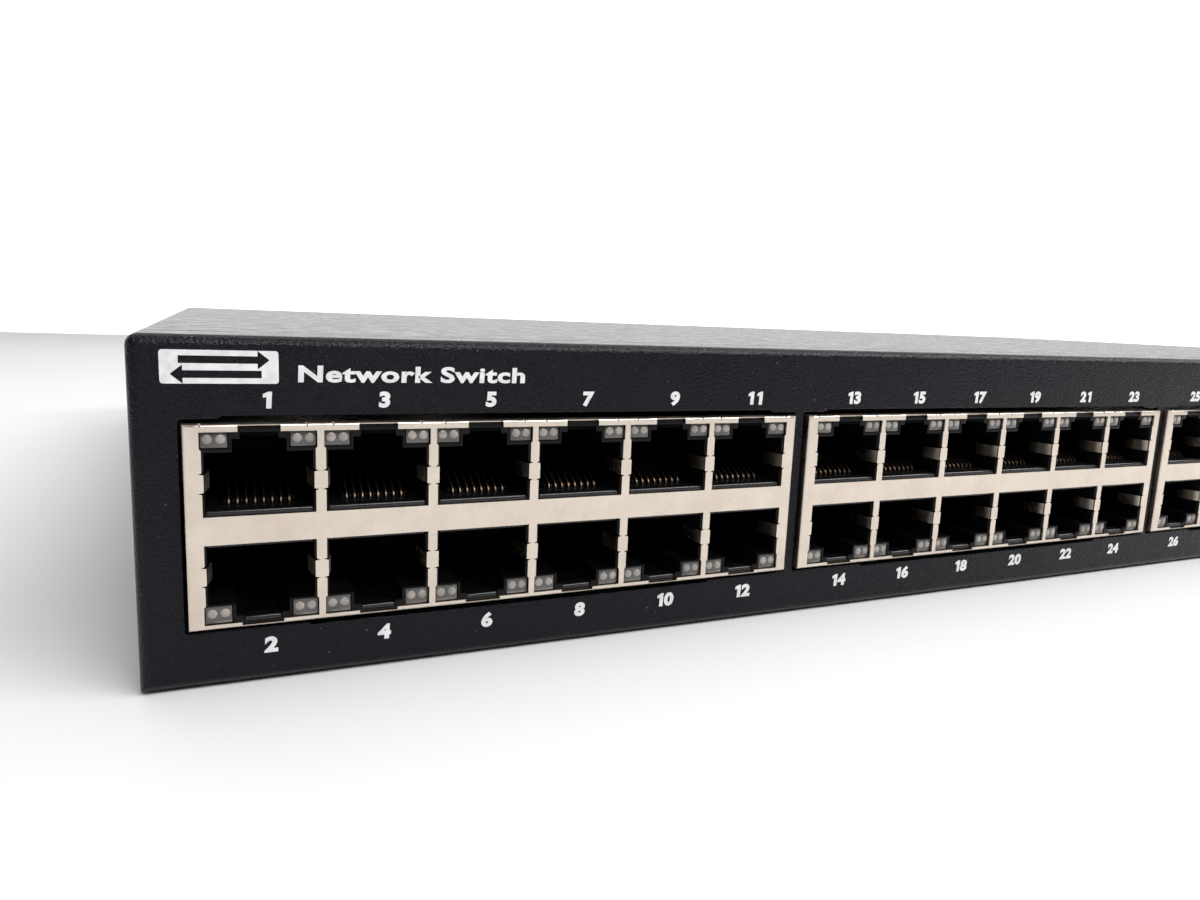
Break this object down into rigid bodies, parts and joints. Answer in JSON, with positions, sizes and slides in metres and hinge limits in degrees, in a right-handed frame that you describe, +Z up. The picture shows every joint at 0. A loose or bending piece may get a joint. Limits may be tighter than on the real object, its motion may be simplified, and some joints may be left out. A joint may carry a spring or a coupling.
{
  "type": "rackmount network switch",
  "caption": "Flat rack-mount network switch: sheet-steel case, stacked rows of shielded modular jacks with lamps, fibre module slots, push buttons, and fans and power inlets at the back.",
  "frame": {"origin": "centre of the case's footprint, on the plane it stands on", "axes": "+X to the right along the front panel, +Y from the front panel to the back, +Z up"},
  "size_m": [0.44, 0.2619, 0.0432],
  "materials": {
    "case_paint": "black textured powder coat on sheet steel",
    "tin_plate": "satin tin-plated phosphor bronze, warm grey",
    "jack_plastic": "black moulded plastic",
    "light_pipe": "clear moulded light pipe, unlit",
    "contact_gold": "gold-plated spring contacts",
    "circuit_board": "green solder mask",
    "sink_metal": "extruded, plain finish",
    "screw_steel": "black zinc",
    "button_plastic": "grey moulded plastic",
    "transformer_tape": "yellow polyester tape on a ferrite core",
    "chip_body": "moulded package",
    "fan_plastic": "black moulded plastic"
  },
  "bodies": {
    "case": {"ac_inlet": "jack_plastic", "ac_inlet_earth_blade": "tin_plate", "ac_inlet_line_blade": "tin_plate", "ac_inlet_neutral_blade": "tin_plate", "chassis_tray": "case_paint", "chip_heatsink_1": "sink_metal", "chip_heatsink_2": "sink_metal", "console_port_insert": "jack_plastic", "console_port_shell": "tin_plate", "cover_screw_left_1": "screw_steel", "cover_screw_left_2": "screw_steel", "cover_screw_right_1": "screw_steel", "cover_screw_right_2": "screw_steel", "fan_frame_1": "fan_plastic", "fan_frame_2": "fan_plastic", "front_panel": "case_paint", "jack_1_contacts": "contact_gold", "jack_1_housing": "jack_plastic", "jack_1_lower_light_pipe": "light_pipe", "jack_1_shield": "tin_plate", "jack_1_upper_light_pipe": "light_pipe", "jack_2_contacts": "contact_gold", "jack_2_housing": "jack_plastic", "jack_2_lower_light_pipe": "light_pipe", "jack_2_shield": "tin_plate", "jack_2_upper_light_pipe": "light_pipe", "jack_3_contacts": "contact_gold", "jack_3_housing": "jack_plastic", "jack_3_lower_light_pipe": "light_pipe", "jack_3_shield": "tin_plate", "jack_3_upper_light_pipe": "light_pipe", "jack_4_contacts": "contact_gold", "jack_4_housing": "jack_plastic", "jack_4_lower_light_pipe": "light_pipe", "jack_4_shield": "tin_plate", "jack_4_upper_light_pipe": "light_pipe", "main_board": "circuit_board", "power_harness": "jack_plastic", "redundant_supply_connector": "jack_plastic", "reset_switch": "jack_plastic", "sfp_cage": "tin_plate", "sfp_connector": "jack_plastic", "stack_switch": "jack_plastic", "status_light_pipe": "light_pipe", "supply_board": "circuit_board", "supply_capacitor": "chip_body", "supply_heatsink": "sink_metal", "supply_transformer": "transformer_tape", "switch_chip_1": "chip_body", "switch_chip_2": "chip_body", "top_cover": "case_paint", "uplink_jack_contacts": "contact_gold", "uplink_jack_housing": "jack_plastic", "uplink_jack_lower_light_pipe": "light_pipe", "uplink_jack_shield": "tin_plate", "uplink_jack_upper_light_pipe": "light_pipe"},
    "stack_button_cap": {"stack_button": "button_plastic"},
    "reset_button_cap": {"reset_button": "button_plastic"},
    "fan_1_impeller": {"fan_rotor_1": "fan_plastic"},
    "fan_2_impeller": {"fan_rotor_2": "fan_plastic"}
  },
  "joints": [
    {"name": "stack_button_press", "type": "slide", "parent": "case", "child": "stack_button_cap", "axis": [0, 1, 0], "range_m": [0, 0.0006], "stiffness_N_per_m": 2500, "springref_m": -0.0001},
    {"name": "reset_button_press", "type": "slide", "parent": "case", "child": "reset_button_cap", "axis": [0, 1, 0], "range_m": [0, 0.0003], "stiffness_N_per_m": 2500, "springref_m": -0.0001},
    {"name": "fan_1_spin", "type": "hinge", "parent": "case", "child": "fan_1_impeller", "pos_m": [-0.178, 0.1175, 0.0216], "axis": [0, 1, 0], "continuous": true},
    {"name": "fan_2_spin", "type": "hinge", "parent": "case", "child": "fan_2_impeller", "pos_m": [-0.126, 0.1175, 0.0216], "axis": [0, 1, 0], "continuous": true}
  ]
}
